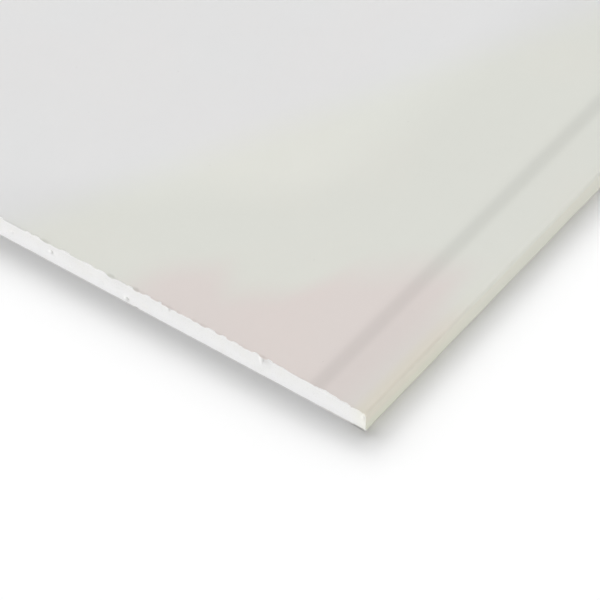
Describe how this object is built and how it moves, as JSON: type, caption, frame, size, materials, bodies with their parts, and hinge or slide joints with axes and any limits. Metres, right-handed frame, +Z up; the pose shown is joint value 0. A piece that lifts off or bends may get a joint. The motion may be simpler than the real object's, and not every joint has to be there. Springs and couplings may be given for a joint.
{
  "type": "drywall sheet",
  "caption": "Flat sheet of gypsum board with paper faces, tapered paper-wrapped long edges and square-cut ends that show the white core.",
  "frame": {"origin": "middle of the sheet's underside, on the floor that it lies on", "axes": "+X along the length, +Y across the width, +Z up through the thickness and out of the face"},
  "size_m": [2.4384, 1.2192, 0.0127],
  "materials": {
    "gypsum": "chalky matte set gypsum, cut and slightly crumbled at the ends",
    "face_paper": "smooth uncoated light grey face paper",
    "back_paper": "rough grey-brown recycled back paper with flecks"
  },
  "bodies": {
    "root": {"gypsum_core": "gypsum", "face_paper": "face_paper", "back_paper": "back_paper"}
  },
  "joints": []
}
